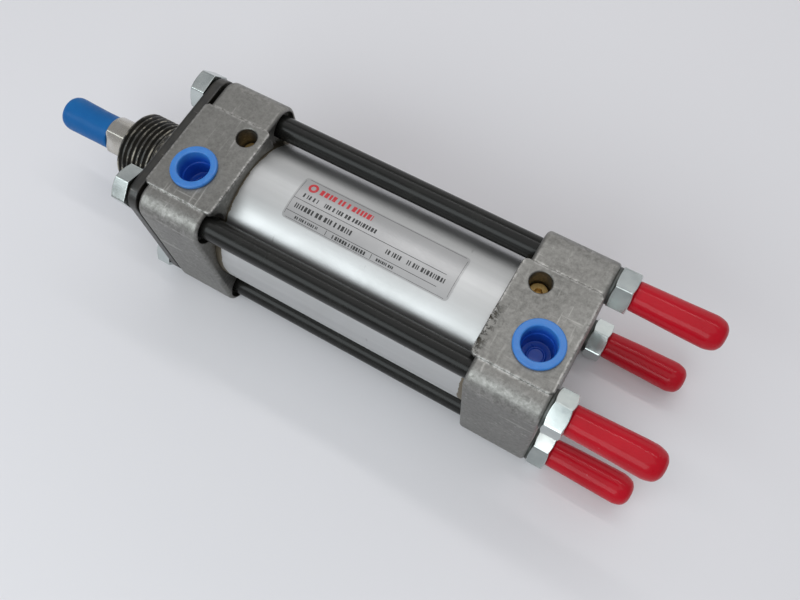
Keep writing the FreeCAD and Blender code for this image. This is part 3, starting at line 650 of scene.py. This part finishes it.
def label_foil():
    """Grey foil with a fine grain, small bubbles and scuffs."""
    f = Finish("label_foil", (0.45, 0.45, 0.455), metallic=0.75, roughness=0.38)
    grain = f.noise(1600, 3, 0.6)
    cloud = f.noise(60, 4, 0.6)
    bubbles = f.levels(f.cells(260), 0.0, 0.1, 1.0, 0.0)
    base = f.blend(f.levels(cloud, 0.3, 0.7), (0.38, 0.378, 0.38), (0.43, 0.428, 0.43))
    rough = f.levels(grain, 0.3, 0.7, 0.34, 0.44)
    f.bump(bubbles, 0.00003, 0.25)
    f.bump(grain, 0.00001, 0.3)
    return f.done(base, rough)


def ink(name, colour):
    """Printed ink, thin and slightly broken."""
    f = Finish(name, colour, roughness=0.45)
    breaks = f.levels(f.noise(2200, 3, 0.6), 0.55, 0.75)
    base = f.blend(f.maths("MULTIPLY", breaks, 0.35), colour, (0.4, 0.4, 0.4))
    rough = f.levels(breaks, 0.0, 1.0, 0.4, 0.6)
    f.bump(breaks, 0.00001, 0.3)
    return f.done(base, rough)


CAST = cast_aluminium()
BARREL = barrel_aluminium()
BLACK = black_steel()
BLACK_ROD = black_rod_steel()
ZINC = zinc_steel("zinc_steel", (0.6, 0.64, 0.63), (0.5, 0.545, 0.54), 0.2)
# Dark finish for the rear washers, which sit in the thin dark gap between the rear nuts and the
# head.
DARK_WASHER = zinc_steel("dark_washer_steel", (0.14, 0.145, 0.14), (0.07, 0.075, 0.07), 0.5)
ROD = rod_steel()
MACHINED = machined_aluminium()
BRASS = yellow_metal("brass", (0.72, 0.5, 0.2), (0.42, 0.27, 0.1))
BRONZE = yellow_metal("bronze", (0.6, 0.4, 0.2), (0.34, 0.2, 0.09))
RUBBER = rubber("rubber", (0.012, 0.012, 0.012), (0.03, 0.03, 0.03))
SEAL = rubber("seal_polyurethane", (0.05, 0.08, 0.1), (0.09, 0.13, 0.16))
GUIDE = rubber("guide_band", (0.2, 0.12, 0.06), (0.3, 0.18, 0.1))
BLUE_VINYL = soft_vinyl("blue_vinyl", (0.004, 0.085, 0.28), (0.01, 0.125, 0.36), 0.42, 0.06, 0.0004)
RED_VINYL = soft_vinyl("red_vinyl", (0.39, 0.001, 0.01), (0.48, 0.002, 0.014), 0.34, 0.25, 0.0002)
PLUG = moulded_plug()
FOIL = label_foil()
INK_BLACK = ink("ink_black", (0.02, 0.02, 0.02))
INK_RED = ink("ink_red", (0.5, 0.02, 0.03))

CAD_FINISHES = {
    CAST: ("front_head", "rear_head"),
    MACHINED: ("front_cartridge", "rear_cartridge", "piston", "front_cushion_sleeve"),
    BARREL: ("barrel_tube",),
    BLACK: ("retainer_plate",),
    RUBBER: ("nose_o_ring", "barrel_o_rings", "piston_o_ring", "piston_seals",
             "front_screw_o_ring", "rear_screw_o_ring"),
    BRONZE: ("rod_bearing",),
    SEAL: ("rod_wiper", "rod_seal", "front_cushion_seal", "rear_cushion_seal"),
    ROD: ("rear_cushion_nut",),
    GUIDE: ("piston_wear_ring",),
    BRASS: ("front_cushion_screw", "rear_cushion_screw"),
    DARK_WASHER: ("rear_washers",),
}


def finish_cad_nodes():
    """Gives its finish to every CAD node that no modelled piece stands for."""
    for material, names in CAD_FINISHES.items():
        for name in names:
            data = nodes[name].data
            data.materials.clear()
            data.materials.append(material)


finish_cad_nodes()

# ---------------------------------------------------------------- nose and rod

NECK_R = 13.75
NECK_END = 9.6
NOSE_R = 13.5
NOSE_PITCH = 2.0
NOSE_THREAD_DEPTH = 1.15
NOSE_INSIDE_R = 13.3
FLANGE_DEPTH = 4.8
WIPER_SEAT_R = 10.5
WIPER_SEAT_X = 20.0
BEARING_SEAT_R = 9.0
SEAL_SEAT_R = 11.0
SEAL_SEAT_X = -5.9
NOSE_CHAMFER = 0.5


def threaded_nose():
    """Bearing housing: flange behind the plate, plain neck, thread, and bored seats inside."""
    x0 = low("threaded_nose").x
    x1 = high("threaded_nose").x
    flange_r = high("threaded_nose").z
    back = low("retainer_plate").x
    outer = [(x0, NOSE_INSIDE_R), (back - FLANGE_DEPTH, NOSE_INSIDE_R),
             (back - FLANGE_DEPTH, flange_r), (back, flange_r), (back, NOSE_INSIDE_R),
             (0.0, NOSE_INSIDE_R), (0.0, NECK_R), (NECK_END, NECK_R), (NECK_END + 0.4, NOSE_R),
             (x1 - NOSE_CHAMFER, NOSE_R), (x1, NOSE_R - NOSE_CHAMFER), (x1, WIPER_SEAT_R),
             (WIPER_SEAT_X, WIPER_SEAT_R), (WIPER_SEAT_X, BEARING_SEAT_R),
             (SEAL_SEAT_X, BEARING_SEAT_R), (SEAL_SEAT_X, SEAL_SEAT_R), (x0, SEAL_SEAT_R)]
    outline = soften(outer, 0.25, 3, closed=True)
    outline = split_between(outline, NECK_END + 0.3, x1 - 0.4, NOSE_PITCH / 12)
    cut = thread(NECK_END + 0.7, x1 + 0.6, NOSE_PITCH, NOSE_THREAD_DEPTH, NOSE_R - 1.1, 1.6)
    mesh = turned_mesh(outline, segments=160, shape=cut, closed=True)
    piece = joined("nose_body", [mesh])
    finish_piece(piece, "housing", BLACK, "black_steel", "threaded_nose")


ROD_R = 7.0
ROD_SHOULDER = low("rod_thread_cap").x - 0.05
ROD_NECK_R = 5.2
ROD_NECK_END = ROD_SHOULDER + 3.0
ROD_THREAD_R = 5.0
ROD_PITCH = 1.25
ROD_THREAD_DEPTH = 0.72
SPIGOT_R = 5.5
SPIGOT_START = -88.9
SPIGOT_END = -112.9
FLAT_START = 30.5
FLAT_HALF = 5.55
FLAT_TURN = 60.0
FLAT_RUN_OUT = 0.8


def piston_rod():
    """Rod with a thread at each end, a thinner spigot for the piston, and two wrench flats."""
    x0 = low("piston_rod").x
    tip = high("piston_rod").x
    outline = [(x0, 0.0), (x0, ROD_THREAD_R - 0.6), (x0 + 0.6, ROD_THREAD_R),
               (SPIGOT_END, ROD_THREAD_R), (SPIGOT_END, SPIGOT_R), (SPIGOT_START, SPIGOT_R),
               (SPIGOT_START, ROD_R), (ROD_SHOULDER - 0.5, ROD_R), (ROD_SHOULDER, ROD_R - 0.5),
               (ROD_SHOULDER, ROD_NECK_R), (ROD_NECK_END, ROD_NECK_R),
               (ROD_NECK_END + 0.2, ROD_THREAD_R), (tip - 0.9, ROD_THREAD_R),
               (tip, ROD_THREAD_R - 0.9), (tip, 0.0)]
    outline = soften(outline, 0.2, 3)
    outline = split_between(outline, ROD_NECK_END + 0.1, tip, ROD_PITCH / 10)
    outline = split_between(outline, FLAT_START - 0.5, ROD_SHOULDER, 0.35)
    outline = split_between(outline, x0, SPIGOT_END - 0.1, ROD_PITCH / 8)
    front = thread(ROD_NECK_END + 0.5, tip + 0.5, ROD_PITCH, ROD_THREAD_DEPTH, 4.2, 1.2)
    back = thread(x0 - 0.4, SPIGOT_END - 0.5, ROD_PITCH, ROD_THREAD_DEPTH, 4.4, 1.0)

    def shape(along, radius, angle):
        if along > ROD_NECK_END:
            return front(along, radius, angle)
        if along < SPIGOT_END:
            return back(along, radius, angle)
        if along > FLAT_START and radius > 6.0:
            return along, flat_radius(along, radius, angle)
        return along, radius

    mesh = turned_mesh(outline, segments=144, shape=shape)
    piece = joined("rod_shaft", [mesh])
    finish_piece(piece, "rod", ROD, "rod_steel", "piston_rod")


def flat_radius(along, radius, angle):
    """Radius of the rod where its two flats cut it, with a curved run-out behind them."""
    turn = abs(math.cos(angle - math.radians(FLAT_TURN)))
    depth = min(1.0, (along - FLAT_START) / FLAT_RUN_OUT)
    limit = ROD_R + (FLAT_HALF - ROD_R) * math.sqrt(depth)
    return min(radius, limit / max(turn, 0.2))


def rod_cap():
    """Soft blue sleeve with a rounded closed end and a slightly wavy skin."""
    mouth = low("rod_thread_cap").x
    end = high("rod_thread_cap").x
    end_r = high("rod_thread_cap").z
    grip_r = 5.22
    room_r = 5.56
    mouth_r = 6.25
    grip_end = mouth + 2.95
    ceiling = end - 1.4
    outer = [(mouth, grip_r), (mouth, mouth_r), (mouth + 8, mouth_r), (end - 2.2, end_r - 0.02),
             (end - 0.5, end_r - 0.55), (end, end_r - 2.1), (end, 0.0)]
    inner = [(ceiling, 0.0), (ceiling, room_r), (grip_end, room_r), (grip_end, grip_r),
             (mouth, grip_r)]
    outline = split_between(soften(outer, 1.0, 6), mouth, end, 1.0) + soften(inner, 0.3, 3)

    def shape(along, radius, angle):
        if radius < 5.9:
            return along, radius
        wave = noise.noise(Vector((along * 0.12, math.cos(angle), math.sin(angle)))) * 0.07
        return along, min(radius - 0.05 + wave, end_r)

    mesh = turned_mesh(outline, shape=shape)
    piece = joined("rod_cap_skin", [mesh], SOFT_ANGLE)
    finish_piece(piece, "rod_cap", BLUE_VINYL, "blue_vinyl", "rod_thread_cap")


# ---------------------------------------------------------------- tie rods and nuts


TIE_PITCH = 1.058
TIE_THREAD_DEPTH = 0.6
TIE_CHAMFER = 0.8
REAR_THREAD_LENGTH = 33.0
FRONT_THREAD_LENGTH = 5.5


def tie_rods():
    """Four rods, threaded over a long rear end and a short front end."""
    x0 = low("tie_rods").x
    x1 = high("tie_rods").x
    rear_end = x0 + REAR_THREAD_LENGTH
    front_start = x1 - FRONT_THREAD_LENGTH
    outline = [(x0, 0.0), (x0, TIE_R - TIE_CHAMFER), (x0 + TIE_CHAMFER, TIE_R),
               (x1 - TIE_CHAMFER, TIE_R), (x1, TIE_R - TIE_CHAMFER), (x1, 0.0)]
    outline = soften(outline, 0.15, 2)
    outline = split_between_ends(outline, x0, rear_end + 1.0, front_start - 0.5, x1)
    least = TIE_R - 0.82
    rear = thread(x0 - 0.4, rear_end, TIE_PITCH, TIE_THREAD_DEPTH, least, 1.2)
    front = thread(front_start, x1 + 0.4, TIE_PITCH, TIE_THREAD_DEPTH, least, 1.0)

    def shape(along, radius, angle):
        if along < rear_end:
            return rear(along, radius, angle)
        return front(along, radius, angle)

    parts = [turned_mesh(outline, centre=(0, y, z), segments=48, shape=shape) for y, z in PLACES]
    piece = joined("tie_rod_set", parts)
    finish_piece(piece, "housing", BLACK_ROD, "black_rod_steel", "tie_rods")


def split_between_ends(outline, low_1, high_1, low_2, high_2):
    """Breaks one long run so that only its two threaded ends get many points."""
    result = []
    for along, radius in outline:
        if result:
            before, before_r = result[-1]
            level = abs(before_r - radius) < TINY
            if level and before < high_1 < along:
                result.append((high_1, radius))
                result.append((low_2, radius))
        result.append((along, radius))
    result = split_between(result, low_1, high_1, TIE_PITCH / 8)
    return split_between(result, low_2, high_2, TIE_PITCH / 8)


NUT_HALF = 6.35
NUT_CORNER = NUT_HALF / math.cos(math.pi / 6)
NUT_WIDEST = NUT_CORNER + 0.25
NUT_CROWN = NUT_HALF - 0.2
NUT_CHAMFER = 0.62
NUT_ROUNDING = 0.12
NUT_STEP = 0.08
HOLE_R = 3.6
HOLE_MOUTH_R = HOLE_R + 0.45
HOLE_BEVEL = 0.4
FRONT_NUT_TURNS = (18.5, 54.0, 4.0, 57.0)
REAR_NUT_TURNS = (33.0, 5.0, 26.0, 9.0)


def hex_nut(x1, x2, place, turn, both_ends):
    """Hexagon nut with conical chamfers and softened corners. Its hole closes on the rod."""
    length = abs(x2 - x1)
    side = 1 if x2 > x1 else -1
    outer = [(0.0, HOLE_MOUTH_R), (0.0, NUT_CROWN if both_ends else NUT_CORNER)]
    if both_ends:
        outer.append((NUT_CHAMFER, NUT_WIDEST))
    outer += [(length - NUT_CHAMFER, NUT_WIDEST), (length, NUT_CROWN), (length, HOLE_MOUTH_R),
              (length - HOLE_BEVEL, HOLE_R), (HOLE_BEVEL, HOLE_R)]
    outer = soften(outer, NUT_ROUNDING, 2, closed=True)
    chamfer_end = NUT_CHAMFER + 0.1
    outer = split_between(outer, 0.0, chamfer_end, NUT_STEP)
    outer = split_between(outer, length - chamfer_end, length, NUT_STEP)
    outer = [(x1 + side * along, radius) for along, radius in outer]

    def shape(along, radius, angle):
        if radius < NUT_CROWN - 0.3:
            return along, radius
        local = (math.degrees(math.pi / 2 - angle) - turn) % 60 - 30
        flat = NUT_HALF / math.cos(math.radians(local))
        return along, soft_min(radius, flat, NUT_ROUNDING)

    return turned_mesh(outer, centre=(0, *place), segments=144, shape=shape, closed=True)


def soft_min(one, two, width):
    """The smaller of two values, rounded where they cross."""
    gap = max(width - abs(one - two), 0.0) / width
    return min(one, two) - gap * gap * width * 0.25


def nut_set(name, node, x1, x2, turns, both_ends):
    """Four nuts as one piece, each turned by its own angle."""
    parts = [hex_nut(x1, x2, place, turn, both_ends) for place, turn in zip(PLACES, turns)]
    piece = joined(name, parts, NUT_ANGLE)
    finish_piece(piece, "housing", ZINC, "zinc_steel", node)


def nuts():
    """Thin front nuts, chamfered outside only, and rear nuts, chamfered on both ends."""
    front = "front_nuts"
    rear = "rear_nuts"
    nut_set("nuts_front", front, low(front).x, high(front).x, FRONT_NUT_TURNS, False)
    nut_set("nuts_rear", rear, high(rear).x, low(rear).x, REAR_NUT_TURNS, True)


def stud_cap(number, y, z):
    """Soft red sleeve with a domed end. Each one has its own slight waves."""
    node = "stud_cap_%d" % number
    end = low(node).x
    mouth = high(node).x
    end_r = (high(node).y - low(node).y) / 2
    bore_r = 4.05
    lip_r = 4.7
    shift = number * 7.3
    outline = [(mouth, bore_r), (mouth, lip_r), (mouth - 0.4, lip_r + 0.15),
               (mouth - 12, end_r - 0.25), (end + 4.2, end_r), (end + 1.6, end_r - 0.8),
               (end + 0.25, end_r - 2.6), (end, 0.0)]
    outline = soften(outline, 2.4, 6)
    outline = split_between(outline, end + 3, mouth, 0.8)
    inner = [(end + 1.5, 0.0), (end + 1.5, bore_r - 0.03), (mouth, bore_r)]
    outline += soften(inner, 0.4, 3)

    def shape(along, radius, angle):
        if radius < 4.3:
            return along, radius
        spot = Vector((along * 0.09 + shift, math.cos(angle) * 0.8, math.sin(angle) * 0.8))
        return along, min(radius - 0.06 + noise.noise(spot) * 0.12, end_r)

    mesh = turned_mesh(outline, centre=(0, y, z), segments=72, shape=shape)
    piece = joined("stud_cap_skin_%d" % number, [mesh], SOFT_ANGLE)
    finish_piece(piece, node, RED_VINYL, "red_vinyl", node)


def stud_caps():
    """A cap on each of the four long studs."""
    for number, (y, z) in enumerate(PLACES, start=1):
        stud_cap(number, y, z)


# ---------------------------------------------------------------- port plugs


def port_plug(end):
    """Hollow flanged cup with a thin step near its mouth and a small raised ring on its floor."""
    node = end + "_port_plug"
    top = high(node).z
    foot = low(node).z
    middle = centre(node)
    flange_r = (high(node).x - low(node).x) / 2
    face = top - 1.2
    floor = foot + 1.2
    ring_top = floor + 0.45
    step = 24.9
    cup_r = 6.5
    outline = [(foot, 0.0), (foot, cup_r - 0.8), (foot + 0.6, cup_r - 0.2), (face - 1.2, cup_r),
               (face, cup_r), (face, flange_r), (top - 0.3, flange_r), (top, flange_r - 0.35),
               (top, 5.65), (top - 0.35, 5.35), (step, 5.2), (step - 0.3, 4.85),
               (floor + 0.2, 4.65), (floor, 4.45), (floor, 2.95), (ring_top, 2.85),
               (ring_top, 2.35), (floor, 2.25), (floor, 0.0)]
    mesh = turned_mesh(soften(outline, 0.22, 3), axis="Z", centre=(middle.x, middle.y, 0))
    piece = joined(end + "_plug_cup", [mesh])
    finish_piece(piece, end + "_plug", PLUG, "blue_plastic", node)


def port_plugs():
    """A plug in each port."""
    for end in ("front", "rear"):
        port_plug(end)


# ---------------------------------------------------------------- label

LABEL_SKEW = 0.55
LABEL_CORNER = 1.3
FOIL_LIFT = 0.01
FOIL_THICK = 0.09
INK_LIFT = 0.1
INK_THICK = 0.02
BORDER_WIDTH = 0.1
RULE_WIDTH = 0.16
DIVIDER_WIDTH = 0.18
LABEL_FRONT = high("name_label").x
LABEL_LENGTH = high("name_label").x - low("name_label").x
LABEL_START = -math.radians(18.6)
BARREL_R = high("barrel_tube").z


def on_label(u, v, height):
    """Place of a point u along the label and v down it, at a height above the barrel."""
    arc = v + LABEL_SKEW * (u / LABEL_LENGTH - 0.5)
    angle = LABEL_START + arc / BARREL_R
    radius = BARREL_R + height
    return LABEL_FRONT - u, radius * math.sin(angle), radius * math.cos(angle)


def curved_patch(u0, u1, v0, v1, corner, lift, thick, columns=24, rows=10):
    """Rounded rectangle lying on the barrel. u runs along it from the front, v down from the top."""
    us = [u0 + (u1 - u0) * k / columns for k in range(columns + 1)]
    if corner > 0:
        steps = [corner * (1 - math.cos(math.pi / 2 * k / 5)) for k in range(6)]
        middle = [u0 + corner + (u1 - u0 - 2 * corner) * k / columns for k in range(1, columns)]
        us = [u0 + s for s in steps] + middle + [u1 - s for s in reversed(steps)]
    vertices = []
    faces = []
    for height in (lift + thick, lift):
        for u in us:
            near = min(u - u0, u1 - u)
            inset = 0.0
            if near < corner:
                inset = corner - math.sqrt(max(0.0, corner ** 2 - (corner - near) ** 2))
            for k in range(rows + 1):
                v = v0 + inset + (v1 - v0 - 2 * inset) * k / rows
                vertices.append(on_label(u, v, height))
    count = len(us)
    stride = rows + 1
    lower = count * stride
    for i in range(count - 1):
        for k in range(rows):
            a = i * stride + k
            faces.append((a, a + 1, a + stride + 1, a + stride))
            faces.append((lower + a, lower + a + stride, lower + a + stride + 1, lower + a + 1))
    rim = [i * stride for i in range(count)]
    rim += [(count - 1) * stride + k for k in range(1, stride)]
    rim += [i * stride + rows for i in range(count - 2, -1, -1)]
    rim += [k for k in range(rows - 1, 0, -1)]
    for one, two in zip(rim, rim[1:] + rim[:1]):
        faces.append((one, two, lower + two, lower + one))
    return vertices, faces


def ink_patch(u0, u1, v0, v1, columns, rows):
    """Sharp-cornered rectangle of printed ink."""
    return curved_patch(u0, u1, v0, v1, 0.0, INK_LIFT, INK_THICK, columns, rows)


def block_row(u0, u1, v, height, widths, gap, seed):
    """A row of short plain blocks standing for a printed line, with no lettering."""
    draw = random.Random(seed)
    parts = []
    u = u0
    while u < u1:
        width = draw.choice(widths)
        parts.append(ink_patch(u, min(u + width, u1), v, v + height, 1, 2))
        u += width + gap * draw.choice((0.8, 1.0, 1.0, 2.2))
    return parts


def label_ring(u, v, outer, inner, segments=40):
    """Thin printed ring centred at u, v."""
    vertices = []
    for lift in (INK_LIFT + INK_THICK, INK_LIFT):
        for radius in (outer, inner):
            for k in range(segments):
                angle = 2 * math.pi * k / segments
                vertices.append(on_label(u + radius * math.cos(angle),
                                         v + radius * math.sin(angle), lift))
    faces = []
    for k in range(segments):
        after = (k + 1) % segments
        loops = [n * segments + k for n in range(4)]
        ahead = [n * segments + after for n in range(4)]
        for one, two in ((0, 1), (1, 3), (3, 2), (2, 0)):
            faces.append((loops[one], ahead[one], ahead[two], loops[two]))
    return vertices, faces


# Each row: start and end along the label, place down it, height, block widths and gap.
PRINTED_ROWS = (
    (3.0, 8.5, 6.3, 1.5, (0.35, 0.6), 0.4),
    (11.0, 30.5, 6.3, 1.5, (0.35, 0.6, 0.8), 0.4),
    (2.5, 23.5, 10.4, 1.7, (0.4, 0.6, 0.9), 0.45),
    (36.0, 41.5, 10.4, 1.5, (0.35, 0.6), 0.4),
    (43.5, 56.5, 10.4, 1.5, (0.35, 0.6, 0.8), 0.4),
    (4.5, 13.0, 14.4, 0.9, (0.35, 0.55), 0.25),
    (18.5, 30.5, 14.3, 1.2, (0.4, 0.7), 0.3),
    (34.5, 40.5, 14.4, 0.9, (0.35, 0.55), 0.25),
)


def label():
    """Foil on the barrel with its border, ruled lines and plain blocks, and no lettering."""
    sheet = curved_patch(0, 60, 0.3, 16.4, LABEL_CORNER, FOIL_LIFT, FOIL_THICK)
    foil = joined("label_foil_sheet", [sheet])
    finish_piece(foil, "housing", FOIL, "label_foil", "name_label")
    dark = frame_line()
    for v, end in ((8.9, 56.0), (13.6, 55.0)):
        dark.append(ink_patch(0.7, end, v, v + RULE_WIDTH, 30, 1))
    for row, (u0, u1, v, height, widths, gap) in enumerate(PRINTED_ROWS):
        dark += block_row(u0, u1, v, height, widths, gap, row)
    for u in (16.0, 32.5):
        dark.append(ink_patch(u, u + DIVIDER_WIDTH, 14.0, 15.6, 1, 4))
    print_black = joined("label_print_black", dark)
    finish_piece(print_black, "housing", INK_BLACK, "label_foil")
    red = [label_ring(4.4, 3.4, 1.7, 0.85)]
    red += block_row(7.2, 26.5, 2.4, 2.1, (0.8, 1.2), 0.5, 9)
    print_red = joined("label_print_red", red)
    finish_piece(print_red, "housing", INK_RED, "label_foil")


def frame_line():
    """Thin printed border just inside the foil's edge."""
    parts = [ink_patch(1.4, 58.6, v, v + BORDER_WIDTH, 30, 1) for v in (0.75, 15.85)]
    parts += [ink_patch(u, u + BORDER_WIDTH, 1.6, 15.1, 1, 12) for u in (0.55, 59.35)]
    return parts


threaded_nose()
piston_rod()
rod_cap()
tie_rods()
nuts()
stud_caps()
port_plugs()
label()

# ---------------------------------------------------------------- floor and light

FLOOR_Z = cad_box[0].z
FLOOR_HALF = 3.0


def floor():
    """Plain pale floor under the part's lowest point."""
    half = FLOOR_HALF
    corners = [(-half, -half), (half, -half), (half, half), (-half, half)]
    mesh = bpy.data.meshes.new("floor")
    mesh.from_pydata([(x, y, FLOOR_Z) for x, y in corners], [], [(0, 1, 2, 3)])
    piece = bpy.data.objects.new("floor", mesh)
    bpy.context.scene.collection.objects.link(piece)
    f = Finish("floor_paint", (0.72, 0.71, 0.735), roughness=0.6)
    mesh.materials.append(f.material)


def area_light(name, place, aim, size, power, colour):
    """Rectangular lamp that faces a point."""
    data = bpy.data.lights.new(name, "AREA")
    data.shape = "RECTANGLE"
    data.size, data.size_y = size
    data.energy = power
    data.color = colour
    lamp = bpy.data.objects.new(name, data)
    lamp.location = place
    lamp.rotation_mode = "QUATERNION"
    lamp.rotation_quaternion = (Vector(aim) - Vector(place)).to_track_quat("-Z", "Y")
    bpy.context.scene.collection.objects.link(lamp)


def lights():
    """Soft room light: a window, a broad ceiling, a far wall and one thin tube."""
    middle = (-0.08, 0.0, 0.0)
    area_light("window", (0.14, 0.66, 0.55), middle, (1.1, 0.5), 4.6, (0.91, 0.985, 1.0))
    area_light("ceiling", (-0.1, -0.02, 1.15), middle, (1.5, 0.95), 3.5, (1.0, 1.0, 1.0))
    area_light("far_wall", (-0.1, -1.1, 0.36), middle, (2.2, 0.7), 2.8, (1.0, 0.985, 0.96))
    area_light("tube_lamp", (-0.1, -0.58, 1.05), middle, (1.4, 0.07), 2.0, (1.0, 1.0, 1.0))
    world = bpy.data.worlds.new("world")
    bpy.context.scene.world = world
    world.use_nodes = True
    back = world.node_tree.nodes["Background"]
    back.inputs["Color"].default_value = (0.76, 0.77, 0.79, 1.0)
    back.inputs["Strength"].default_value = 0.48
    bpy.context.scene.view_settings.view_transform = "Standard"


floor()
lights()
